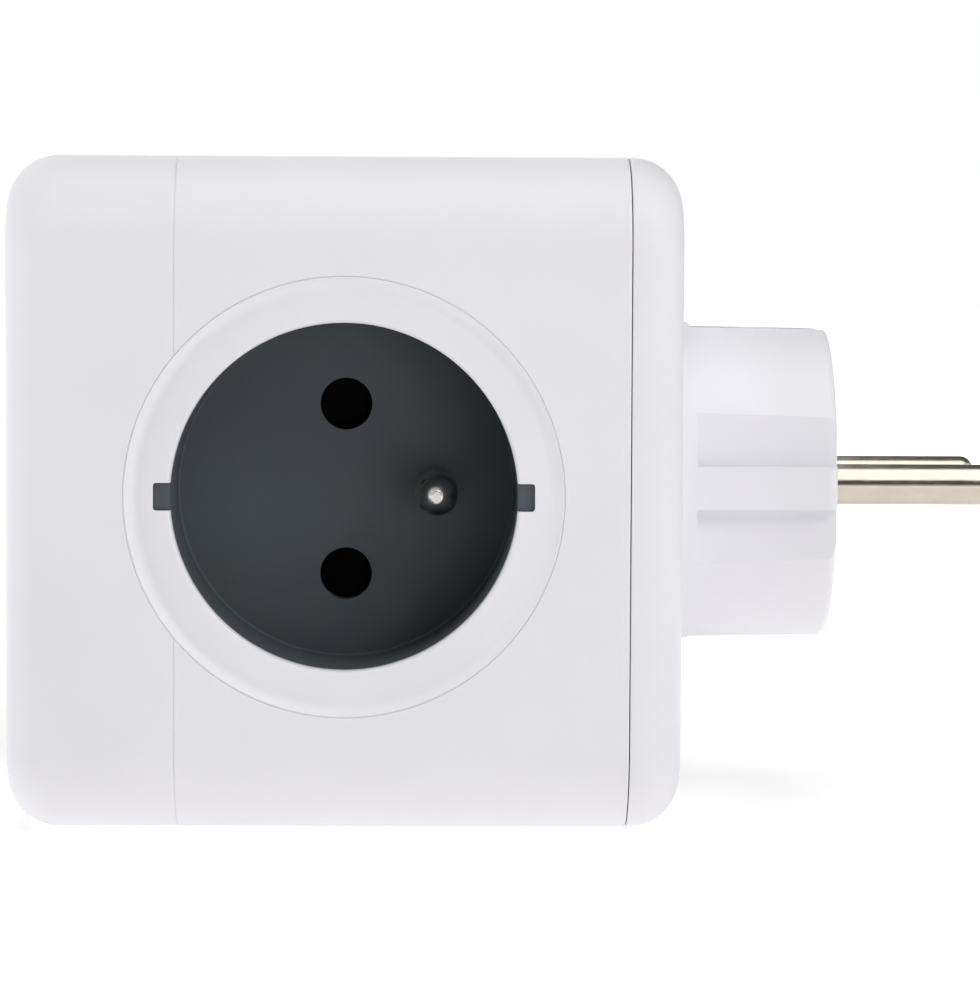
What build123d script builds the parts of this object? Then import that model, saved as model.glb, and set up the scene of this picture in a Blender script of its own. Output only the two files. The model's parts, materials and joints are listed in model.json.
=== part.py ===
# Cube multi socket: a round earthed plug on one side of a cube and a recessed outlet on the other five.
# The origin is the middle of the plug's front face, +X runs out along the plug pins and +Z is up.
import os
from math import asin, degrees

from build123d import *

os.makedirs("parts", exist_ok=True)

# Shell
long_edge_radius = 10.0
end_edge_radius = 5.5
wall = 2.4
face_wall = 3.0  # the plug base's own face
cap_depth = 18.5  # from the closed end to the seam
base_band = 0.35  # between the plug base's rounded edge and its seam
cap_seam_gap = 0.02
base_seam_gap = 0.12
seam_slope = 0.2  # along X, where the seams' edges fall away
seam_fall = 0.08
lip_thickness = 1.2
lip_length = 3.0
lip_gap = 0.15

# Bezels, from the mouth outwards and from the cube's face inwards
mouth_radius = 18.8
mouth_round = 0.45
ring_width = 3.0
ring_sink = 0.7
ring_slope = 1.4
bezel_land = 0.15
bezel_edge = 0.05  # broken off the rim and off the hole round it
bezel_gap = 0.03
bezel_flange = 1.65
bezel_flange_thickness = 1.5
bezel_flange_gap = 0.25
bezel_seat_gap = 0.1
notch_width = 3.0
notch_length = 1.8
notch_round = 0.35
lug_gap = 0.1
lug_sink = 0.6

# Socket cups
cup_wall = 1.25
cup_rim_depth = 2.2
cup_rim_flange = 1.6
cup_rim_gap = 0.1
recess_depth = 17.0
cup_floor = 2.2
cup_fillet = 0.25
cup_chamfer = 3.5
cup_gap = 0.7  # between the chamfers of neighbouring cups

# Pins and their holes
pin_radius = 2.4
pin_neck = 2.2  # where a pin passes through plastic
pin_spacing = 19.0
pin_hole_radius = 2.9
sink_angle = 90
pin_fit = 0.05
earth_offset = 10.0
earth_pin_height = 14.0
earth_nose = 3.8  # the rounded end's length
earth_tip = 0.6
earth_tip_fillet = 0.3
rivet_radius = 1.4

# Shutters, which turn behind each cup's floor
shutter_play = 0.3
shutter_thickness = 1.4
shutter_cover = 0.3  # past the pin holes
shutter_half_angle = 20.0
shutter_travel = 40.0
shutter_ramp = 0.9
wing_angles = (90, 270)
hub_radius = 3.9
pivot_radius = 2.0
pivot_fit = 0.1
stop_radius = 1.5
stop_inset = 1.7  # from the shutter's rim
stop_gap = 0.15
peg_radius = 0.6
peg_ring = 6.5
peg_angle = 100.0
peg_length = 0.9
anchor_radius = 0.8
anchor_ring = 7.5
anchor_angle = 200.0
spring_wire = 0.5
spring_play = 0.15
spring_fit = 0.05
spring_turn_gap = 0.4
spring_leg = 8.6
half_turn = 180
full_turn = 360

# Carrier and rails
carrier_wall = 1.6
carrier_setback = 8.8  # from the plug's side of the cube
sheet = 0.6
rail_floor = 0.3
slot_gap = 0.15
rail_setback = 0.8
rail_end = 7.2  # of the long rails, behind the plug's front face
tab_width = 4.5
tab_height = 5.0
strap_width = 5.2
side_strap_low = 6.0
earth_web = 6.0

# Plug
plug_length = 18.5
plug_wall = 3.7
plug_draft = 0.8  # degrees
plug_end_fillet = 0.9
plug_root_fillet = 0.6
plug_end_wall = 3.0
plug_flange = 2.6
flat_depth = 2.1
rib_width = 4.75
clip_recess_width = 9.0
clip_recess_depth = 1.9
clip_width = 6.0
clip_gap = 0.2
clip_setback = 1.7
clip_bow = 0.35
plug_pin_length = 19.0
plug_pin_fillet = 1.5
plug_pin_collar = 3.6
plug_pin_collar_length = 1.4
plug_pin_tail = 11.0
collar_wall = 1.6
earth_hole_radius = 2.7
sleeve_bore = 2.5
sleeve_wall = 0.7
sleeve_room = 1.6  # to the wall of the plug's hollow
sleeve_gap = 0.05
sleeve_depth = 16.0
sleeve_stem = 2.0

# Case screws
post_inset = 10.3  # from the cube's sides
post_radius = 3.4
post_setback = 10.8  # from the plug's side of the cube
post_gap = 0.2
screw_boss_radius = 4.6
screw_seat = 2.8
screw_head_radius = 2.8
screw_head_height = 2.2
screw_head_gap = 0.3
screw_radius = 1.25
screw_fit = 0.05
screw_hole_gap = 0.45
screw_hole_edge = 0.3
screw_length = 14.0
screw_slot_width = 0.8
screw_slot_length = 3.6
screw_slot_depth = 1.0

# Depths below each outlet's face
flange_front = wall + bezel_seat_gap
flange_back = flange_front + bezel_flange_thickness
cup_back = recess_depth + cup_floor
shutter_top = cup_back + shutter_play
shutter_bottom = shutter_top + shutter_thickness
spring_top = shutter_bottom + spring_play
spring_bottom = spring_top + spring_wire
strap_top = spring_bottom + spring_play
carrier_depth = strap_top + sheet

# Radii about each outlet's axis
ring_inner = mouth_radius + mouth_round
ring_radius = ring_inner + ring_width
bezel_radius = ring_radius + ring_slope + bezel_land
bezel_hole = bezel_radius + bezel_gap
flange_radius = bezel_radius + bezel_flange
cup_radius = mouth_radius + cup_wall
cup_rim_radius = cup_radius + cup_rim_flange
bezel_pocket = cup_rim_radius + cup_rim_gap
slope_radius = (ring_slope**2 + ring_sink**2) / (2 * ring_sink)
slope_angle = degrees(asin(ring_slope / slope_radius))
hole_offset = pin_spacing / 2
shutter_radius = hole_offset + pin_hole_radius + shutter_cover
stop_ring = shutter_radius - stop_inset

# Rails: channels whose walls take the pins
rail_gap = 2 * (pin_radius + pin_fit)
rail_half = rail_gap / 2 + sheet
rail_web_inner = pin_radius + rail_floor
rail_web_outer = rail_web_inner + sheet
web_place = hole_offset + rail_web_inner + sheet / 2
rail_start = hole_offset - pin_radius
tunnel_half = rail_half + slot_gap
tunnel_inner = rail_start - slot_gap
tunnel_outer = hole_offset + rail_web_outer + slot_gap

# Cube: as small as its carrier and the neighbouring cups allow
half_cube = max(
    carrier_depth + tunnel_outer + carrier_wall,
    cup_back + cup_radius - cup_chamfer + cup_gap,
)
cube_side = 2 * half_cube
carrier_half = half_cube - carrier_depth
inner_width = cube_side - 2 * wall
inner_radius = long_edge_radius - wall
tongue_width = inner_width - 2 * lip_gap
lip_inner_width = tongue_width - 2 * lip_thickness

# Plug radii about its axis
plug_hollow = earth_offset + sleeve_bore + sleeve_wall + sleeve_room
plug_radius = plug_hollow + plug_wall
plug_clear = plug_radius + wall  # outside the plug, for cuts
flat_distance = plug_radius - flat_depth
clip_recess_floor = plug_radius - clip_recess_depth
clip_floor = clip_recess_floor + clip_gap

# Places along X
plug_root = -plug_length
cube_x = plug_root - half_cube
cap_end = plug_root - cube_side
cap_edge = cap_end + cap_depth
body_left = cap_edge + cap_seam_gap
base_edge = plug_root - end_edge_radius - base_band
body_right = base_edge - base_seam_gap
base_inner = plug_root - face_wall
flats_start = plug_root + plug_flange
carrier_right = half_cube - carrier_setback
earth_plate_x = plug_root - carrier_setback
bridge_x = earth_plate_x + sheet
sleeve_x = bridge_x + sheet
post_offset = half_cube - post_inset
post_end = plug_root - post_setback
screw_head_hole = screw_head_radius + screw_head_gap
screw_seat_x = post_end + post_gap + screw_seat

# Face planes: x points to the earth pin, z points out of the cube
sides = {
    "front": Plane(origin=(cube_x, -half_cube, 0), x_dir=(1, 0, 0), z_dir=(0, -1, 0)),
    "rear": Plane(origin=(cube_x, half_cube, 0), x_dir=(1, 0, 0), z_dir=(0, 1, 0)),
    "top": Plane(origin=(cube_x, 0, half_cube), x_dir=(0, 1, 0), z_dir=(0, 0, 1)),
    "bottom": Plane(origin=(cube_x, 0, -half_cube), x_dir=(0, 1, 0), z_dir=(0, 0, -1)),
}
outlets = {**sides, "end": Plane(origin=(cap_end, 0, 0), x_dir=(0, 0, 1), z_dir=(-1, 0, 0))}


def save(piece, name):
    """Label a finished piece and write it."""
    piece.part.label = name
    export_step(piece.part, f"parts/{name}.step")


def area(x0, x1, y0, y1, mode=Mode.ADD):
    """A rectangle between two corners of the sketch."""
    with Locations(((x0 + x1) / 2, (y0 + y1) / 2)):
        Rectangle(abs(x1 - x0), abs(y1 - y0), mode=mode)


def polar(radius, angle):
    """A sketch point at a radius and an angle in degrees."""
    return Vector(radius, 0).rotate(Axis.Z, angle)


def section_plane(outlet):
    """The plane through an outlet's axis, with the radius along x and the way out along y."""
    return Plane(origin=outlet.origin, x_dir=outlet.x_dir, z_dir=-outlet.y_dir)


# The holes that the bezels stand in, shared by the shell's pieces
bezel_holes = {}
for face, outlet in outlets.items():
    with BuildPart() as bezel_cut:
        with BuildSketch(section_plane(outlet)):
            with BuildLine():
                Polyline(
                    (0, 0),
                    (bezel_hole + bezel_edge, 0),
                    (bezel_hole, -bezel_edge),
                    (bezel_hole, -flange_front),
                    (0, -flange_front),
                    close=True,
                )
            make_face()
        revolve(axis=Axis(outlet.origin, outlet.z_dir))
    bezel_holes[face] = bezel_cut.part

# End cap: the closed end of the shell, with four long posts for the screws
with BuildPart() as end_cap:
    with BuildSketch(Plane.YZ.offset(cap_end)):
        RectangleRounded(cube_side, cube_side, long_edge_radius)
    extrude(amount=cap_edge - cap_end)
    fillet(end_cap.faces().sort_by(Axis.X)[0].edges(), end_edge_radius)
    seam_face = end_cap.faces().sort_by(Axis.X)[-1]
    chamfer(seam_face.edges(), seam_fall, seam_slope, reference=seam_face)
    with BuildSketch(Plane.YZ.offset(cap_end + wall)):
        RectangleRounded(inner_width, inner_width, inner_radius)
    extrude(amount=cap_edge - cap_end, mode=Mode.SUBTRACT)
    cavity_floor = end_cap.faces().filter_by(Axis.X).sort_by(Axis.X)[1]
    fillet(cavity_floor.edges(), end_edge_radius - wall)
    with BuildSketch(Plane.YZ.offset(cap_end + wall)):
        with GridLocations(2 * post_offset, 2 * post_offset, 2, 2):
            Circle(post_radius)
    extrude(amount=post_end - cap_end - wall)
    with BuildSketch(Plane.YZ.offset(post_end)):
        with GridLocations(2 * post_offset, 2 * post_offset, 2, 2):
            Circle(screw_radius + screw_fit)
    extrude(amount=-screw_length, mode=Mode.SUBTRACT)
    add(bezel_holes.values(), mode=Mode.SUBTRACT)
save(end_cap, "end_cap")

# Body shell: the middle band, with a tongue that locates the end cap
with BuildPart() as body_shell:
    with BuildSketch(Plane.YZ.offset(body_left)):
        RectangleRounded(cube_side, cube_side, long_edge_radius)
    extrude(amount=body_right - body_left)
    for end in (0, -1):
        seam_face = body_shell.faces().sort_by(Axis.X)[end]
        chamfer(seam_face.edges(), seam_fall, seam_slope, reference=seam_face)
    with BuildSketch(Plane.YZ.offset(body_left)):
        RectangleRounded(inner_width, inner_width, inner_radius)
    extrude(amount=body_right - body_left, mode=Mode.SUBTRACT)
    with BuildSketch(Plane.YZ.offset(body_left)):
        RectangleRounded(inner_width, inner_width, inner_radius)
        RectangleRounded(lip_inner_width, lip_inner_width, inner_radius, mode=Mode.SUBTRACT)
    extrude(amount=lip_length)
    with BuildSketch(Plane.YZ.offset(body_left)):
        RectangleRounded(tongue_width, tongue_width, inner_radius)
        RectangleRounded(lip_inner_width, lip_inner_width, inner_radius, mode=Mode.SUBTRACT)
    extrude(amount=-lip_length)
    add([bezel_holes[face] for face in sides], mode=Mode.SUBTRACT)
    for outlet in sides.values():
        with BuildSketch(outlet.offset(-wall)):
            Circle(flange_radius + bezel_flange_gap)
        extrude(amount=-(lip_gap + lip_thickness), mode=Mode.SUBTRACT)
save(body_shell, "body_shell")

# Plug base: the face plate moulded in one with the hollow plug
with BuildPart() as plug_base:
    with BuildSketch(Plane.YZ.offset(base_edge)):
        RectangleRounded(cube_side, cube_side, long_edge_radius)
    extrude(amount=plug_root - base_edge)
    fillet(plug_base.faces().sort_by(Axis.X)[-1].edges(), end_edge_radius)
    seam_face = plug_base.faces().sort_by(Axis.X)[0]
    chamfer(seam_face.edges(), seam_fall, seam_slope, reference=seam_face)
    with BuildSketch(Plane.YZ.offset(base_inner)):
        RectangleRounded(inner_width, inner_width, inner_radius)
    extrude(amount=base_edge - base_inner, mode=Mode.SUBTRACT)
    with BuildSketch(Plane.YZ.offset(base_inner)):
        RectangleRounded(inner_width, inner_width, inner_radius)
        RectangleRounded(lip_inner_width, lip_inner_width, inner_radius, mode=Mode.SUBTRACT)
    extrude(amount=base_edge - base_inner)
    with BuildSketch(Plane.YZ.offset(base_edge)):
        RectangleRounded(tongue_width, tongue_width, inner_radius)
        RectangleRounded(lip_inner_width, lip_inner_width, inner_radius, mode=Mode.SUBTRACT)
    extrude(amount=-lip_length)
    # The round plug, with its draft
    with BuildSketch(Plane.YZ.offset(plug_root)):
        Circle(plug_radius)
    extrude(amount=plug_length, taper=plug_draft)
    fillet(plug_base.faces().sort_by(Axis.X)[-1].edges(), plug_end_fillet)
    plate = plug_base.faces().filter_by_position(Axis.X, plug_root, plug_root).sort_by(SortBy.AREA)[-1]
    fillet(plate.edges().filter_by(GeomType.CIRCLE).sort_by(SortBy.RADIUS)[-1:], plug_root_fillet)
    # Guide flats with a rib between them, on both sides
    for side in (1, -1):
        with BuildSketch(Plane.YZ.offset(flats_start)):
            area(side * flat_distance, side * plug_clear, rib_width / 2, plug_radius)
            area(side * flat_distance, side * plug_clear, -rib_width / 2, -plug_radius)
        extrude(amount=plug_length, mode=Mode.SUBTRACT)
    # Recesses for the side earth contacts, and the slots that their legs come through
    for side in (1, -1):
        with BuildSketch(Plane.YZ.offset(flats_start)):
            area(
                -clip_recess_width / 2,
                clip_recess_width / 2,
                side * clip_recess_floor,
                side * plug_clear,
            )
        extrude(amount=plug_length, mode=Mode.SUBTRACT)
    # Collar that clamps the carrier, and tubes for the screws
    with BuildSketch(Plane.YZ.offset(bridge_x)):
        Circle(plug_hollow + collar_wall)
    extrude(amount=base_inner - bridge_x)
    with BuildSketch(Plane.YZ.offset(post_end + post_gap)):
        with GridLocations(2 * post_offset, 2 * post_offset, 2, 2):
            Circle(screw_boss_radius)
    extrude(amount=base_inner - post_end - post_gap)
    with BuildSketch(Plane.YZ.offset(-plug_end_wall)):
        Circle(plug_hollow)
    extrude(amount=bridge_x + plug_end_wall, mode=Mode.SUBTRACT)
    for side in (1, -1):
        with BuildSketch(Plane.YZ.offset(bridge_x)):
            area(
                -clip_width / 2 - clip_gap,
                clip_width / 2 + clip_gap,
                side * clip_recess_floor,
                side * (clip_floor + sheet + clip_gap),
            )
        extrude(amount=flats_start - bridge_x, mode=Mode.SUBTRACT)
        with BuildSketch(Plane.YZ.offset(bridge_x)):
            area(-clip_width / 2 - clip_gap, clip_width / 2 + clip_gap, 0, side * clip_floor)
        extrude(amount=base_inner - bridge_x, mode=Mode.SUBTRACT)
    # Holes in the plug's face, and the screws' holes in the plate
    with BuildSketch(Plane.YZ):
        with Locations((hole_offset, 0), (-hole_offset, 0)):
            Circle(pin_neck + pin_fit)
        with Locations((0, earth_offset)):
            Circle(earth_hole_radius)
    extrude(amount=-plug_end_wall, mode=Mode.SUBTRACT)
    with Locations(Plane.YZ.offset(plug_root)):
        with GridLocations(2 * post_offset, 2 * post_offset, 2, 2):
            CounterSinkHole(
                screw_head_hole, screw_head_hole + screw_hole_edge, plug_root - screw_seat_x, sink_angle
            )
    with BuildSketch(Plane.YZ.offset(screw_seat_x)):
        with GridLocations(2 * post_offset, 2 * post_offset, 2, 2):
            Circle(screw_radius + screw_hole_gap)
    extrude(amount=-screw_seat - post_gap, mode=Mode.SUBTRACT)
save(plug_base, "plug_base")

# Plug pins: a round pin on the plug's face, a neck through it, a collar behind and a tail in the long rail
collar_back = -plug_end_wall - plug_pin_collar_length
for name, side in (("plug_pin_live", -1), ("plug_pin_neutral", 1)):
    with BuildPart() as plug_pin:
        with BuildSketch(Plane.YZ):
            with Locations((side * hole_offset, 0)):
                Circle(pin_radius)
        extrude(amount=plug_pin_length)
        fillet(plug_pin.faces().sort_by(Axis.X)[-1].edges(), plug_pin_fillet)
        with BuildSketch(Plane.YZ):
            with Locations((side * hole_offset, 0)):
                Circle(pin_neck)
        extrude(amount=-plug_end_wall)
        with BuildSketch(Plane.YZ.offset(-plug_end_wall)):
            with Locations((side * hole_offset, 0)):
                Circle(plug_pin_collar)
        extrude(amount=-plug_pin_collar_length)
        with BuildSketch(Plane.YZ.offset(collar_back)):
            with Locations((side * hole_offset, 0)):
                Rectangle(2 * pin_neck, 2 * pin_radius)
        extrude(amount=-plug_pin_tail)
    save(plug_pin, name)

# Outlets: bezel, socket cup, earth pin, shutter and spring on each of the five faces
stop_half_angle = degrees(asin((stop_radius + stop_gap) / stop_ring))
closed_stop = wing_angles[0] - shutter_half_angle - stop_half_angle
open_stop = wing_angles[0] + shutter_half_angle + shutter_travel + stop_half_angle
stop_angles = (closed_stop, open_stop, closed_stop + half_turn)
peg_side = degrees(asin((peg_radius + spring_wire / 2 + spring_fit) / peg_ring))
anchor_side = degrees(asin((anchor_radius + spring_wire / 2 + spring_fit) / anchor_ring))
nose_start = earth_pin_height - earth_nose - recess_depth
nose_run = pin_radius - earth_tip
nose_radius = (nose_run**2 + earth_nose**2) / (2 * nose_run)
nose_angle = degrees(asin(earth_nose / nose_radius))
for face, outlet in outlets.items():
    axis = Axis(outlet.origin, outlet.z_dir)

    with BuildPart() as bezel:
        with BuildSketch(section_plane(outlet)):
            with BuildLine():
                lip = CenterArc((ring_inner, -ring_sink - mouth_round), mouth_round, 90, 90)
                slope = CenterArc((ring_radius, slope_radius - ring_sink), slope_radius, -90, slope_angle)
                Polyline(
                    lip @ 1,
                    (mouth_radius, -cup_rim_depth),
                    (bezel_pocket, -cup_rim_depth),
                    (bezel_pocket, -flange_back),
                    (flange_radius, -flange_back),
                    (flange_radius, -flange_front),
                    (bezel_radius, -flange_front),
                    (bezel_radius, -bezel_edge),
                    (bezel_radius - bezel_edge, 0),
                    slope @ 1,
                )
                Line(slope @ 0, lip @ 0)
            make_face()
        revolve(axis=axis)
        with BuildSketch(outlet.offset(-ring_sink)):
            with Locations((mouth_radius, 0), (-mouth_radius, 0)):
                RectangleRounded(2 * notch_length, notch_width, notch_round)
        extrude(amount=ring_sink - cup_rim_depth, mode=Mode.SUBTRACT)
    save(bezel, f"{face}_bezel")

    with BuildPart() as socket:
        with BuildSketch(section_plane(outlet)):
            with BuildLine():
                corner = CenterArc(
                    (mouth_radius - cup_fillet, cup_fillet - recess_depth), cup_fillet, -90, 90
                )
                Polyline(
                    corner @ 1,
                    (mouth_radius, -cup_rim_depth),
                    (cup_rim_radius, -cup_rim_depth),
                    (cup_rim_radius, -flange_back),
                    (cup_radius, -flange_back),
                    (cup_radius, cup_chamfer - cup_back),
                    (cup_radius - cup_chamfer, -cup_back),
                    (0, -cup_back),
                    (0, -recess_depth),
                    corner @ 0,
                )
            make_face()
        revolve(axis=axis)
        # Key lugs that show in the bezel's notches
        with BuildSketch(outlet.offset(-cup_rim_depth)):
            with Locations((mouth_radius, 0), (-mouth_radius, 0)):
                RectangleRounded(
                    2 * (notch_length - lug_gap), notch_width - 2 * lug_gap, notch_round - lug_gap
                )
            Circle(mouth_radius, mode=Mode.SUBTRACT)
        extrude(amount=cup_rim_depth - ring_sink - lug_sink)
        # Pivot, stops that stand on the carrier, and the spring's anchor
        with BuildSketch(outlet.offset(-cup_back)):
            Circle(pivot_radius)
            with Locations(*[polar(stop_ring, angle) for angle in stop_angles]):
                Circle(stop_radius)
        extrude(amount=cup_back - carrier_depth)
        with BuildSketch(outlet.offset(-cup_back)):
            with Locations(polar(anchor_ring, anchor_angle)):
                Circle(anchor_radius)
        extrude(amount=cup_back - spring_bottom)
        # Pin holes, and a narrower one for the earth pin's neck
        with Locations(outlet.offset(-recess_depth)):
            with Locations((0, hole_offset), (0, -hole_offset)):
                Hole(pin_hole_radius, cup_floor)
            with Locations((earth_offset, 0)):
                Hole(pin_neck + pin_fit, cup_floor)
    save(socket, f"{face}_socket")

    with BuildPart() as earth_pin:
        with BuildSketch(section_plane(outlet)):
            with BuildLine():
                nose = CenterArc(
                    (earth_offset + pin_radius - nose_radius, nose_start), nose_radius, 0, nose_angle
                )
                Polyline(
                    nose @ 1,
                    (earth_offset, nose_start + earth_nose),
                    (earth_offset, -carrier_depth),
                    (earth_offset + rivet_radius, -carrier_depth),
                    (earth_offset + rivet_radius, -strap_top),
                    (earth_offset + pin_neck, -strap_top),
                    (earth_offset + pin_neck, -recess_depth),
                    (earth_offset + pin_radius, -recess_depth),
                    nose @ 0,
                )
            make_face()
        revolve(axis=Axis(outlet.from_local_coords((earth_offset, 0, 0)), outlet.z_dir))
        fillet(earth_pin.faces().sort_by(axis)[-1].edges(), earth_tip_fillet)
    save(earth_pin, f"{face}_earth_pin")

    with BuildPart() as shutter:
        with BuildSketch(outlet.offset(-shutter_top)):
            for middle in wing_angles:
                with BuildLine():
                    rim = CenterArc(
                        (0, 0), shutter_radius, middle - shutter_half_angle, 2 * shutter_half_angle
                    )
                    Line((0, 0), rim @ 0)
                    Line(rim @ 1, (0, 0))
                make_face()
            Circle(hub_radius)
            Circle(pivot_radius + pivot_fit, mode=Mode.SUBTRACT)
        extrude(amount=-shutter_thickness)
        # The pins push on a ramp along each wing's closing edge
        upper = shutter.faces().sort_by(axis)[-1]
        ramps = [
            edge
            for edge in upper.edges().filter_by(GeomType.LINE)
            if outlet.to_local_coords(edge.center()).X * outlet.to_local_coords(edge.center()).Y > 0
        ]
        chamfer(ramps, shutter_ramp)
        with BuildSketch(outlet.offset(-shutter_bottom)):
            with Locations(polar(peg_ring, peg_angle)):
                Circle(peg_radius)
        extrude(amount=-peg_length)
    save(shutter, f"{face}_shutter")

    with BuildPart() as spring:
        turn = pivot_radius + spring_turn_gap
        first = peg_angle + peg_side
        last = anchor_angle - anchor_side
        with BuildSketch(outlet.offset(-spring_top)):
            with BuildLine():
                inner = CenterArc((0, 0), turn, first, last - first - full_turn)
                Line(inner @ 0, inner @ 0 + polar(spring_leg - turn, first))
                Line(inner @ 1, inner @ 1 + polar(spring_leg - turn, last))
            trace(line_width=spring_wire)
        extrude(amount=-spring_wire)
    save(spring, f"{face}_shutter_spring")

# Carrier halves and rails: the live rail's cross piece is in the upper half, the neutral rail's in the lower
tab_root = rail_half - sheet / 2
cross_reach = carrier_half - rail_setback
long_reach = cross_reach - cube_x - rail_end
halves = (("carrier_upper", "live_rail", 1), ("carrier_lower", "neutral_rail", -1))
for carrier_name, rail_name, up in halves:
    strap_plane = Plane(origin=(cube_x, -up * web_place, 0), x_dir=(up, 0, 0), z_dir=(0, -1, 0))
    tie_plane = Plane(origin=(cube_x + up * web_place, 0, 0), x_dir=(0, -up, 0), z_dir=(-1, 0, 0))

    with BuildPart() as carrier:
        with BuildSketch(Plane(origin=(cube_x, 0, 0))):
            area(-carrier_half, carrier_right, -carrier_half, carrier_half)
        extrude(amount=up * carrier_half)
        # Slot along Y for the rail's cross channel, open to the other half
        with BuildSketch(Plane(origin=(cube_x, 0, 0), x_dir=(1, 0, 0), z_dir=(0, -1, 0))):
            area(-tunnel_half, tunnel_half, 0, up * tunnel_outer)
        extrude(amount=carrier_half, both=True, mode=Mode.SUBTRACT)
        # Tunnels for both rails' upright and long channels
        for side in (1, -1):
            with BuildSketch(Plane(origin=(cube_x, 0, 0))):
                area(side * tunnel_inner, side * tunnel_outer, -tunnel_half, tunnel_half)
            extrude(amount=up * carrier_half, mode=Mode.SUBTRACT)
            with BuildSketch(Plane.YZ.offset(cube_x - carrier_half)):
                area(side * tunnel_inner, side * tunnel_outer, -tunnel_half, tunnel_half)
            extrude(amount=carrier_half + carrier_right, mode=Mode.SUBTRACT)
        # Slots for the rail's two tabs
        with BuildSketch(strap_plane):
            area(0, rail_half + tab_width + slot_gap, 0, tunnel_outer)
        extrude(amount=sheet / 2 + slot_gap, both=True, mode=Mode.SUBTRACT)
        with BuildSketch(tie_plane):
            area(0, tunnel_outer, 0, rail_half + tab_height + slot_gap)
        extrude(amount=sheet / 2 + slot_gap, both=True, mode=Mode.SUBTRACT)
    save(carrier, carrier_name)

    channels = (
        (Vector(0, -cross_reach, up * hole_offset), Vector(0, 1, 0), Vector(0, 0, up), 2 * cross_reach),
        (Vector(up * hole_offset, 0, -cross_reach), Vector(0, 0, 1), Vector(up, 0, 0), 2 * cross_reach),
        (
            Vector(-cross_reach, -up * hole_offset, 0),
            Vector(1, 0, 0),
            Vector(0, -up, 0),
            long_reach,
        ),
    )
    with BuildPart() as rail:
        for start, along, web, length in channels:
            with BuildSketch(Plane(origin=start + Vector(cube_x, 0, 0), x_dir=web.cross(along), z_dir=along)):
                area(-rail_half, rail_half, -pin_radius, rail_web_outer)
                area(-rail_gap / 2, rail_gap / 2, -pin_radius, rail_web_inner, mode=Mode.SUBTRACT)
            extrude(amount=length)
        with BuildSketch(strap_plane):
            area(tab_root, rail_half + tab_width, tab_root, hole_offset + rail_web_outer)
        extrude(amount=sheet / 2, both=True)
        with BuildSketch(tie_plane):
            area(tab_root, hole_offset + rail_web_outer, tab_root, rail_half + tab_height)
        extrude(amount=sheet / 2, both=True)
    save(rail, rail_name)

# Earth frame: a plate on the carrier's plug side with straps along its faces to the five earth pins
strap_near = earth_offset - strap_width / 2
strap_far = earth_offset + strap_width / 2
strap_reach = carrier_right + sheet
strap_level = carrier_half + sheet
with BuildPart() as earth_frame:
    with BuildSketch(Plane.YZ.offset(earth_plate_x)):
        area(-strap_level, strap_level, side_strap_low, side_strap_low + strap_width)
        area(strap_near, strap_far, side_strap_low, strap_level)
        area(-earth_web / 2, earth_web / 2, -strap_level, side_strap_low)
        area(-earth_web / 2, strap_far, -strap_level, strap_width - strap_level)
        with Locations((0, earth_offset)):
            Circle(rivet_radius + pin_fit, mode=Mode.SUBTRACT)
    extrude(amount=sheet)
    for face, up in (("front", 1), ("rear", -1)):
        with BuildSketch(sides[face].offset(-carrier_depth)):
            area(strap_near, strap_reach, up * side_strap_low, up * (side_strap_low + strap_width))
            area(strap_near, strap_far, -up * strap_width / 2, up * (side_strap_low + strap_width))
            with Locations((earth_offset, 0)):
                Circle(rivet_radius + pin_fit, mode=Mode.SUBTRACT)
        extrude(amount=sheet)
    with BuildSketch(sides["top"].offset(-carrier_depth)):
        area(strap_near, strap_far, -strap_reach, strap_level)
        with Locations((earth_offset, 0)):
            Circle(rivet_radius + pin_fit, mode=Mode.SUBTRACT)
    extrude(amount=sheet)
    with BuildSketch(sides["bottom"].offset(-carrier_depth)):
        area(strap_near, strap_far, -strap_width / 2, strap_reach)
        with Locations((earth_offset, 0)):
            Circle(rivet_radius + pin_fit, mode=Mode.SUBTRACT)
    extrude(amount=sheet)
    with BuildSketch(outlets["end"].offset(-carrier_depth)):
        area(strap_near, strap_level, strap_near, strap_far)
        area(strap_near, strap_far, -strap_width / 2, strap_far)
        with Locations((earth_offset, 0)):
            Circle(rivet_radius + pin_fit, mode=Mode.SUBTRACT)
    extrude(amount=sheet)
save(earth_frame, "earth_frame")

# Earth bridge: a U of strip whose bowed legs lie in the plug's top and bottom recesses
with BuildPart() as earth_bridge:
    clip_end = -clip_setback
    bow_start = flats_start
    with BuildSketch(Plane.XZ):
        with BuildLine():
            foot = Line((bridge_x, 0), (bridge_x, clip_floor + sheet))
            leg = Line(foot @ 1, (bow_start, clip_floor + sheet))
            bow = ThreePointArc(
                leg @ 1,
                ((bow_start + clip_end) / 2, clip_floor + sheet + clip_bow),
                (clip_end, clip_floor + sheet),
            )
            tip = Line(bow @ 1, (clip_end, clip_floor))
            under = ThreePointArc(
                tip @ 1, ((bow_start + clip_end) / 2, clip_floor + clip_bow), (bow_start, clip_floor)
            )
            Polyline(under @ 1, (sleeve_x, clip_floor), (sleeve_x, 0), (bridge_x, 0))
        make_face()
        mirror(about=Plane.XZ)
    extrude(amount=clip_width / 2, both=True)
    with BuildSketch(Plane.YZ.offset(bridge_x)):
        with Locations((0, earth_offset)):
            Circle(rivet_radius + pin_fit)
    extrude(amount=sheet, mode=Mode.SUBTRACT)
save(earth_bridge, "earth_bridge")

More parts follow.
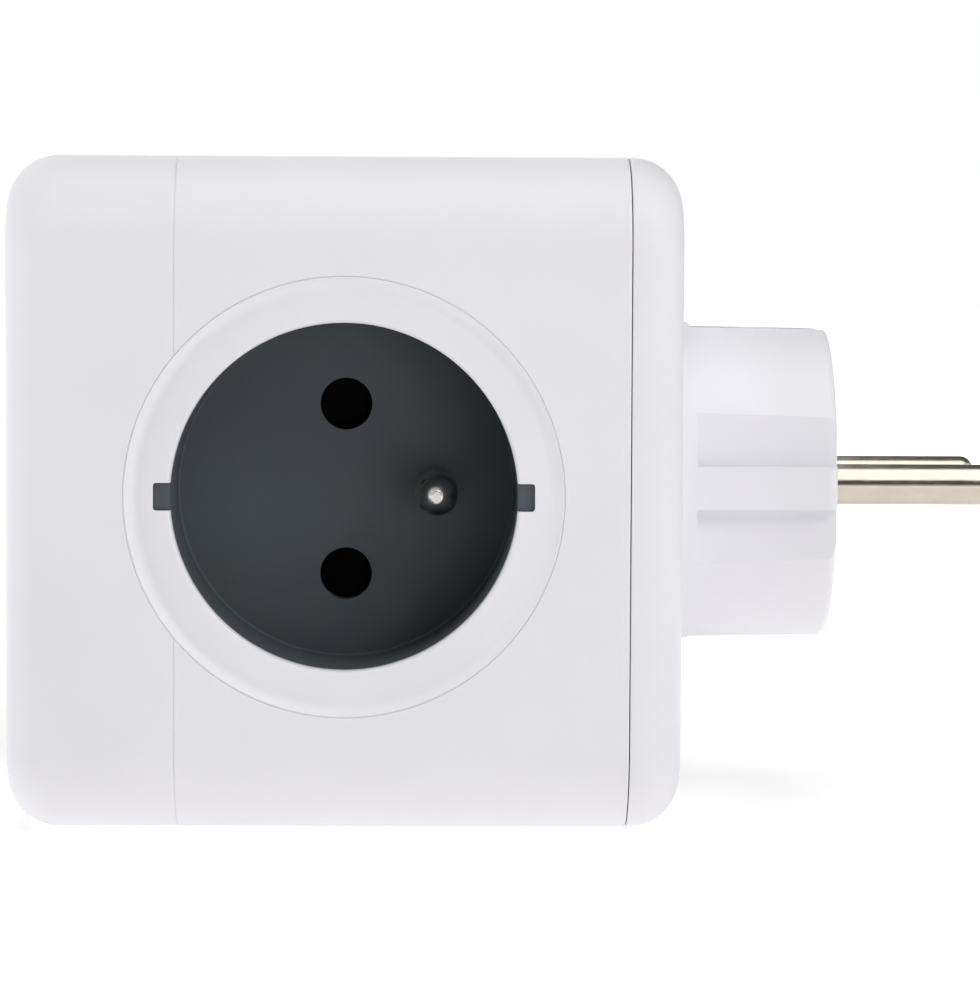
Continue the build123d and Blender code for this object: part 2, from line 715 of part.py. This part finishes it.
# Earth sleeve: the tube behind the plug's earth hole, riveted through the bridge and the frame
with BuildPart() as earth_sleeve:
    sleeve_end = -plug_end_wall - sleeve_gap
    with BuildSketch(Plane.XZ):
        with BuildLine():
            Polyline(
                (earth_plate_x, earth_offset),
                (earth_plate_x, earth_offset + rivet_radius),
                (sleeve_x, earth_offset + rivet_radius),
                (sleeve_x, earth_offset + sleeve_stem),
                (sleeve_end - sleeve_depth, earth_offset + sleeve_stem),
                (sleeve_end - sleeve_depth, earth_offset + sleeve_bore + sleeve_wall),
                (sleeve_end, earth_offset + sleeve_bore + sleeve_wall),
                (sleeve_end, earth_offset + sleeve_bore),
                (sleeve_end - sleeve_depth + sheet, earth_offset + sleeve_bore),
                (sleeve_end - sleeve_depth + sheet, earth_offset),
                close=True,
            )
        make_face()
    revolve(axis=Axis((0, 0, earth_offset), (1, 0, 0)))
save(earth_sleeve, "earth_sleeve")

# Case screws: four pan heads in the plate's deep holes, driven into the end cap's posts
with BuildPart() as case_screws:
    with BuildSketch(Plane.YZ.offset(screw_seat_x)):
        with GridLocations(2 * post_offset, 2 * post_offset, 2, 2):
            Circle(screw_head_radius)
    extrude(amount=screw_head_height)
    with BuildSketch(Plane.YZ.offset(screw_seat_x)):
        with GridLocations(2 * post_offset, 2 * post_offset, 2, 2):
            Circle(screw_radius)
    extrude(amount=-screw_length)
    with BuildSketch(Plane.YZ.offset(screw_seat_x + screw_head_height)):
        with GridLocations(2 * post_offset, 2 * post_offset, 2, 2):
            Rectangle(screw_slot_length, screw_slot_width)
            Rectangle(screw_slot_width, screw_slot_length)
    extrude(amount=-screw_slot_depth, mode=Mode.SUBTRACT)
save(case_screws, "case_screws")
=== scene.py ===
import json
import math

import bpy
from mathutils import Matrix, Vector


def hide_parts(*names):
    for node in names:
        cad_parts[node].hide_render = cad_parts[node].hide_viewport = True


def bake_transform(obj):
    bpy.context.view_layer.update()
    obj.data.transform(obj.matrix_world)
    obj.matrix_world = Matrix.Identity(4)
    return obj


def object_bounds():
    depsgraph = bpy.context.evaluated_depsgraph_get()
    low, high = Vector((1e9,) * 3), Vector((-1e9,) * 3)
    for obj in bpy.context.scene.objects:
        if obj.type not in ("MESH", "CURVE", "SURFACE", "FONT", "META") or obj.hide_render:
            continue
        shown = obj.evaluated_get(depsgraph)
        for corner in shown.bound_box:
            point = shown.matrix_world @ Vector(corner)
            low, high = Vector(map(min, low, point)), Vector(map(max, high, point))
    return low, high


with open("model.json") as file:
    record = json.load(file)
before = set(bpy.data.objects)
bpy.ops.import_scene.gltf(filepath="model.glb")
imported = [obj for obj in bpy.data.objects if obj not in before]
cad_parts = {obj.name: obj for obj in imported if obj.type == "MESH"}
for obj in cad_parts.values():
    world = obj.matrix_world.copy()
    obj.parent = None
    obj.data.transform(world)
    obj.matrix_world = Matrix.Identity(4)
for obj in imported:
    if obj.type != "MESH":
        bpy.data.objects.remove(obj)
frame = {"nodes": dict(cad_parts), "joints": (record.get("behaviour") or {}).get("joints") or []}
bpy.context.view_layer.update()
cad_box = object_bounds()
nodes_by_name = frame["nodes"]
scene = bpy.context.scene


# Places and sizes, in metres and degrees

cube_middle = Vector((-0.0553, 0.0, 0.0))
floor_gap = 0.0002
floor_height = cad_box[0].z - floor_gap
floor_reach = 4.0
table_card_gap = 0.0004
table_height = floor_height + table_card_gap

camera_place = Vector((-0.0492, -0.4677, 0.0266))
camera_yaw = 1.27
camera_pitch = -3.42
camera_roll = 0.27
focal_length = 147.3
sensor_width = 36.0
nearest_seen = 0.01
farthest_seen = 20.0


# Colours, written as they show on a screen

def linear(level):
    """A screen level of 0 to 255 as linear light."""
    level = level / 255.0
    if level <= 0.04045:
        return level / 12.92
    return ((level + 0.055) / 1.055) ** 2.4


def colour(red, green, blue):
    return (linear(red), linear(green), linear(blue), 1.0)


white = (1.0, 1.0, 1.0, 1.0)


# Building blocks of the node trees

def worked_out(tree, operation, first, second):
    node = tree.nodes.new("ShaderNodeMath")
    node.operation = operation
    tree.links.new(first, node.inputs[0])
    tree.links.new(second, node.inputs[1])
    return node.outputs["Value"]


def graded(tree, value, near, far, first, last):
    """Goes from first to last while the value goes from near to far."""
    node = tree.nodes.new("ShaderNodeMapRange")
    node.inputs["From Min"].default_value = near
    node.inputs["From Max"].default_value = far
    node.inputs["To Min"].default_value = first
    node.inputs["To Max"].default_value = last
    tree.links.new(value, node.inputs["Value"])
    return node.outputs["Result"]


def show_either(tree, output, factor, first, second):
    """Shows the first shader where the factor is zero and the second where it is one."""
    node = tree.nodes.new("ShaderNodeMixShader")
    tree.links.new(factor, node.inputs["Fac"])
    tree.links.new(first, node.inputs[1])
    tree.links.new(second, node.inputs[2])
    tree.links.new(node.outputs["Shader"], tree.nodes[output].inputs["Surface"])


def seen_rays(tree):
    """One for rays from the camera, off a reflection or through a clear piece, else zero."""
    path = tree.nodes.new("ShaderNodeLightPath")
    seen = worked_out(tree, "MAXIMUM", path.outputs["Is Camera Ray"], path.outputs["Is Glossy Ray"])
    return worked_out(tree, "MAXIMUM", seen, path.outputs["Is Transmission Ray"])


def start_material(name):
    material = bpy.data.materials.new(name)
    material.use_nodes = True
    tree = material.node_tree
    return material, tree, tree.nodes["Principled BSDF"]


def noise(tree, size, detail, stretch=(1.0, 1.0, 1.0)):
    """Noise with grains about one size across; stretch makes them longer along an axis."""
    place = tree.nodes.new("ShaderNodeTexCoord")
    mapping = tree.nodes.new("ShaderNodeMapping")
    mapping.inputs["Scale"].default_value = [1.0 / (size * s) for s in stretch]
    pattern = tree.nodes.new("ShaderNodeTexNoise")
    pattern.inputs["Scale"].default_value = 1.0
    pattern.inputs["Detail"].default_value = detail
    tree.links.new(place.outputs["Object"], mapping.inputs["Vector"])
    tree.links.new(mapping.outputs["Vector"], pattern.inputs["Vector"])
    return pattern.outputs["Fac"]


def vary_colour(tree, shader, pattern, tones):
    """The first tone where the noise is low and the second where it is high."""
    ramp = tree.nodes.new("ShaderNodeValToRGB")
    stops = ramp.color_ramp.elements
    for stop, position, tone in zip(stops, (0.3, 0.7), tones):
        stop.position = position
        stop.color = tone
    tree.links.new(pattern, ramp.inputs["Fac"])
    tree.links.new(ramp.outputs["Color"], shader.inputs["Base Color"])


def vary_roughness(tree, shader, pattern, span):
    tree.links.new(graded(tree, pattern, 0.25, 0.75, *span), shader.inputs["Roughness"])


def roughen(tree, shader, pattern, height, strength, under=None):
    """Bump of the given height in metres; returns the node, so that a finer bump can lie on it."""
    bump = tree.nodes.new("ShaderNodeBump")
    bump.inputs["Distance"].default_value = height
    bump.inputs["Strength"].default_value = strength
    tree.links.new(pattern, bump.inputs["Height"])
    if under is not None:
        tree.links.new(under.outputs["Normal"], bump.inputs["Normal"])
    tree.links.new(bump.outputs["Normal"], shader.inputs["Normal"])
    return bump


# Materials, with the sizes of their noise in metres

def moulded(name, tones, roughness, grain, grain_height, gloss=0.5):
    """Moulded plastic: slow drift of colour, fine spark-eroded grain, uneven gloss."""
    material, tree, shader = start_material(name)
    shader.inputs["IOR"].default_value = 1.53
    shader.inputs["Specular IOR Level"].default_value = gloss
    vary_colour(tree, shader, noise(tree, size=0.014, detail=3.0), tones)
    vary_roughness(tree, shader, noise(tree, size=0.004, detail=4.0), roughness)
    waves = noise(tree, size=0.011, detail=1.0)
    flow = roughen(tree, shader, waves, height=0.00004, strength=0.25)
    sparks = noise(tree, size=grain, detail=2.0)
    roughen(tree, shader, sparks, height=grain_height, strength=0.35, under=flow)
    return material


def plated(name, tones, stretch):
    """Bright nickel plate with fine marks that run along the pin."""
    material, tree, shader = start_material(name)
    shader.inputs["Metallic"].default_value = 1.0
    vary_colour(tree, shader, noise(tree, size=0.0022, detail=3.0), tones)
    marks = noise(tree, size=0.00016, detail=3.0, stretch=stretch)
    vary_roughness(tree, shader, marks, (0.10, 0.24))
    roughen(tree, shader, marks, height=0.000006, strength=0.30)
    return material


def sheet_metal(name, tones, roughness):
    """Pressed sheet or drawn wire with a dull, patchy skin."""
    material, tree, shader = start_material(name)
    shader.inputs["Metallic"].default_value = 1.0
    vary_colour(tree, shader, noise(tree, size=0.003, detail=5.0), tones)
    vary_roughness(tree, shader, noise(tree, size=0.0011, detail=4.0), roughness)
    scratches = noise(tree, size=0.00025, detail=3.0)
    roughen(tree, shader, scratches, height=0.000008, strength=0.4)
    return material


white_shell = moulded(
    "white_plastic",
    tones=(colour(227, 226, 231), colour(230, 229, 234)),
    roughness=(0.40, 0.48),
    grain=0.00022,
    grain_height=0.000006,
)
dark_socket = moulded(
    "dark_plastic",
    tones=(colour(78, 84, 88), colour(81, 87, 93)),
    roughness=(0.38, 0.46),
    grain=0.00028,
    grain_height=0.000010,
    gloss=0.18,
)
core_plastic = moulded(
    "core_plastic",
    tones=(colour(196, 192, 180), colour(204, 200, 189)),
    roughness=(0.42, 0.55),
    grain=0.0003,
    grain_height=0.000010,
)
shutter_black = moulded(
    "black_plastic",
    tones=(colour(3, 3, 3), colour(5, 5, 5)),
    roughness=(0.50, 0.60),
    grain=0.0003,
    grain_height=0.000008,
    gloss=0.02,
)

mark_length = 14.0
marks_x = (mark_length, 1.0, 1.0)
marks_y = (1.0, mark_length, 1.0)
marks_z = (1.0, 1.0, mark_length)
plug_tones = (colour(198, 190, 176), colour(206, 198, 185))
earth_tones = (colour(200, 197, 190), colour(207, 204, 198))
plug_plate = plated("nickel_plug", plug_tones, marks_x)
along_x = plated("nickel_along_x", earth_tones, marks_x)
along_y = plated("nickel_along_y", earth_tones, marks_y)
along_z = plated("nickel_along_z", earth_tones, marks_z)

strip_plate = sheet_metal(
    "nickel_strip",
    tones=(colour(214, 208, 196), colour(224, 219, 209)),
    roughness=(0.18, 0.32),
)
rail_brass = sheet_metal(
    "brass_strip",
    tones=(colour(206, 164, 92), colour(222, 184, 112)),
    roughness=(0.24, 0.42),
)
spring_steel = sheet_metal(
    "spring_wire",
    tones=(colour(168, 168, 172), colour(188, 188, 192)),
    roughness=(0.22, 0.36),
)
screw_steel = sheet_metal(
    "zinc_plate",
    tones=(colour(190, 192, 196), colour(206, 208, 210)),
    roughness=(0.26, 0.40),
)


# Every node of the frame gets its material

outlet_plates = {
    "front": along_y,
    "rear": along_y,
    "top": along_z,
    "bottom": along_z,
    "end": along_x,
}
dressing = {
    "end_cap": white_shell,
    "body_shell": white_shell,
    "plug_base": white_shell,
    "plug_pin_live": plug_plate,
    "plug_pin_neutral": plug_plate,
    "carrier_upper": core_plastic,
    "carrier_lower": core_plastic,
    "live_rail": rail_brass,
    "neutral_rail": rail_brass,
    "earth_frame": rail_brass,
    "earth_bridge": strip_plate,
    "earth_sleeve": strip_plate,
    "case_screws": screw_steel,
}
for face, pin_plate in outlet_plates.items():
    dressing[f"{face}_bezel"] = white_shell
    dressing[f"{face}_socket"] = dark_socket
    dressing[f"{face}_earth_pin"] = pin_plate
    dressing[f"{face}_shutter"] = shutter_black
    dressing[f"{face}_shutter_spring"] = spring_steel

for name, piece in nodes_by_name.items():
    piece.data.materials.clear()
    piece.data.materials.append(dressing[name])


# Each shutter's spring is copied into an object of its own, and the original spring is hidden

for joint in frame["joints"]:
    face = joint["child"].removesuffix("_shutter")
    closed_spring = nodes_by_name[f"{face}_shutter_spring"]
    spring = bpy.data.objects.new(f"{face}_twisting_spring", closed_spring.data.copy())
    scene.collection.objects.link(spring)
    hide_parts(f"{face}_shutter_spring")
    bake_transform(spring)


# Floor, and the cards that the metal reflects as bright and dark lines

def flat_card(name, material, corners):
    mesh = bpy.data.meshes.new(name)
    mesh.from_pydata(corners, [], [tuple(range(len(corners)))])
    mesh.update()
    mesh.materials.append(material)
    card = bpy.data.objects.new(name, mesh)
    scene.collection.objects.link(card)
    card.visible_diffuse = False
    card.visible_shadow = False
    return card


def glowing(name, albedo):
    """Matt material that glows white; the caller sets how strongly."""
    material, tree, shader = start_material(name)
    shader.inputs["Base Color"].default_value = (albedo, albedo, albedo, 1.0)
    shader.inputs["Roughness"].default_value = 0.9
    shader.inputs["Specular IOR Level"].default_value = 0.0
    shader.inputs["Emission Color"].default_value = white
    return material, tree, shader


def pale_floor():
    """Takes the object's shadow, fades to plain white farther out, and is clear from below."""
    material, tree, shader = glowing("pale_floor", albedo=0.80)
    place = tree.nodes.new("ShaderNodeTexCoord")
    distance = tree.nodes.new("ShaderNodeVectorMath")
    distance.operation = "LENGTH"
    tree.links.new(place.outputs["Object"], distance.inputs[0])
    glow = graded(tree, distance.outputs["Value"], near=0.12, far=0.80, first=0.38, last=0.95)
    strength = worked_out(tree, "MULTIPLY", glow, seen_rays(tree))
    tree.links.new(strength, shader.inputs["Emission Strength"])
    from_below = tree.nodes.new("ShaderNodeNewGeometry").outputs["Backfacing"]
    clear = tree.nodes.new("ShaderNodeBsdfTransparent").outputs["BSDF"]
    show_either(tree, "Material Output", from_below, shader.outputs["BSDF"], clear)
    return material


def card_material(name, level):
    """Even card of one brightness."""
    material, tree, shader = glowing(name, albedo=0.02)
    shader.inputs["Emission Strength"].default_value = level
    return material


flat_card(
    "floor",
    pale_floor(),
    [
        (-floor_reach, -floor_reach, floor_height),
        (floor_reach, -floor_reach, floor_height),
        (floor_reach, floor_reach, floor_height),
        (-floor_reach, floor_reach, floor_height),
    ],
)

dark_card = card_material("dark_card", 0.08)
grey_card = card_material("grey_card", 0.35)
pale_card = card_material("pale_card", 0.5)
bright_card = card_material("bright_card", 1.95)
reflected_cards = {
    "front_card": (
        dark_card,
        [(-0.5, -0.9, 0.08), (0.42, -0.9, 0.08), (0.42, -0.9, 0.50), (-0.5, -0.9, 0.50)],
    ),
    "low_card": (
        pale_card,
        [(-0.5, -0.9, -0.033), (0.42, -0.9, -0.033), (0.42, -0.9, 0.08), (-0.5, -0.9, 0.08)],
    ),
    "rear_card": (
        dark_card,
        [(0.075, 0.80, 0.25), (0.70, 0.80, 0.25), (0.70, 0.20, 0.79), (0.075, 0.20, 0.79)],
    ),
    "side_card": (
        grey_card,
        [(0.30, 0.80, -0.03), (0.95, 0.05, -0.03), (0.95, 0.05, 0.35), (0.30, 0.80, 0.35)],
    ),
    "slanted_card": (
        bright_card,
        [(0.05, -0.79, 0.46), (0.35, -0.79, 0.46), (0.35, -0.42, 0.80), (0.05, -0.42, 0.80)],
    ),
    "roof_card": (
        bright_card,
        [(0.05, -0.42, 0.80), (0.35, -0.42, 0.80), (0.35, 0.10, 0.90), (0.05, 0.10, 0.90)],
    ),
    "table_card": (
        bright_card,
        [
            (0.004, 0.018, table_height),
            (0.30, 0.018, table_height),
            (0.40, 1.0, table_height),
            (0.10, 1.0, table_height),
        ],
    ),
}
for name, (material, corners) in reflected_cards.items():
    card = flat_card(name, material, corners)
    card.visible_camera = False


# Lamps: square softboxes that face the cube and show in no reflection

def softbox(name, place, side, watts):
    lamp = bpy.data.lights.new(name, "AREA")
    lamp.shape = "RECTANGLE"
    lamp.size = side
    lamp.size_y = side
    lamp.energy = watts
    box = bpy.data.objects.new(name, lamp)
    box.location = place
    box.rotation_mode = "QUATERNION"
    box.rotation_quaternion = (cube_middle - Vector(place)).to_track_quat("-Z", "Y")
    box.visible_glossy = False
    scene.collection.objects.link(box)


softbox("key", (0.466, -0.521, 0.516), side=0.4, watts=2.79)
softbox("front_light", (0.253, -0.846, 0.000), side=0.4, watts=1.18)
softbox("table_bounce", (0.353, -0.706, -0.380), side=0.4, watts=0.86)
softbox("right_fill", (0.769, -0.333, -0.141), side=0.4, watts=0.6)
softbox("left_fill", (-0.923, -0.232, 0.063), side=0.4, watts=3.51)
softbox("left_rear", (-0.882, 0.351, 0.063), side=0.4, watts=1.64)
softbox("overhead", (-0.055, -0.156, 0.886), side=0.5, watts=2.66)
softbox("rear_light", (-0.055, 0.869, 0.233), side=0.4, watts=2.0)


# World: soft light that depends on the direction, and plain white where it is seen

world = bpy.data.worlds.new("studio")
scene.world = world
world.use_nodes = True
sky = world.node_tree
facing = sky.nodes.new("ShaderNodeTexCoord")
direction = sky.nodes.new("ShaderNodeSeparateXYZ")
sky.links.new(facing.outputs["Generated"], direction.inputs["Vector"])
height = direction.outputs["Z"]
depth = direction.outputs["Y"]
from_below = graded(sky, height, near=-0.9, far=0.0, first=1.29, last=0.0)
from_above = graded(sky, height, near=0.0, far=0.9, first=0.0, last=0.30)
from_behind = graded(sky, depth, near=-1.0, far=1.0, first=0.0, last=0.09)
upright = worked_out(sky, "ADD", from_below, from_above)
level = worked_out(sky, "ADD", upright, from_behind)

soft_light = sky.nodes["Background"]
soft_light.inputs["Color"].default_value = (1.0, 0.985, 0.99, 1.0)
sky.links.new(level, soft_light.inputs["Strength"])
white_wall = sky.nodes.new("ShaderNodeBackground")
white_wall.inputs["Color"].default_value = white
white_wall.inputs["Strength"].default_value = 1.0
show_either(
    sky,
    "World Output",
    seen_rays(sky),
    soft_light.outputs["Background"],
    white_wall.outputs["Background"],
)


# Camera at the photograph's place

lens = bpy.data.cameras.new("camera")
lens.sensor_fit = "HORIZONTAL"
lens.sensor_width = sensor_width
lens.lens = focal_length
lens.clip_start = nearest_seen
lens.clip_end = farthest_seen
camera = bpy.data.objects.new("camera", lens)
turn = (
    Matrix.Rotation(math.radians(-camera_yaw), 4, "Z")
    @ Matrix.Rotation(math.radians(90.0 + camera_pitch), 4, "X")
    @ Matrix.Rotation(math.radians(camera_roll), 4, "Z")
)
camera.matrix_world = Matrix.Translation(camera_place) @ turn
scene.collection.objects.link(camera)
scene.camera = camera
scene.view_settings.view_transform = "Standard"


# Bring the scene up to date

bpy.context.view_layer.update()
